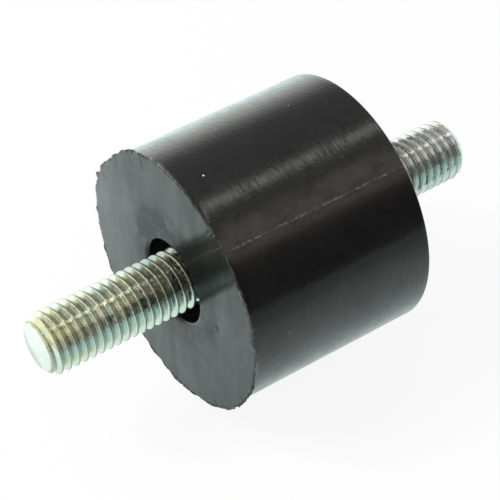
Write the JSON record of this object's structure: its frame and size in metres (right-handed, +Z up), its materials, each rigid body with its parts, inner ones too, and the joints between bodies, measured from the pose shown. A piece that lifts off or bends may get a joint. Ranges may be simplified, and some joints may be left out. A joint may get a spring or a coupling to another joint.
{
  "type": "bobbin vibration mount",
  "caption": "Cylindrical rubber bobbin mount with a threaded steel stud on the axis at each end, used to hold a machine clear of its base and damp vibration.",
  "frame": {"origin": "where the studs' axis crosses the plane of the rubber's front face", "axes": "+X along the studs' axis from the front face to the rear face, +Z up with the mount lying on its side"},
  "size_m": [0.0939, 0.052, 0.0522],
  "materials": {
    "rubber": "satin moulded natural rubber, with a grey bloom on the end faces",
    "plate_steel": "plain steel, bonded inside the rubber",
    "plated_stud": "bright zinc plating with a faint iridescent passivation"
  },
  "bodies": {
    "root": {"rubber_body": "rubber", "front_plate": "plate_steel", "rear_plate": "plate_steel", "front_stud": "plated_stud", "rear_stud": "plated_stud"}
  },
  "joints": []
}
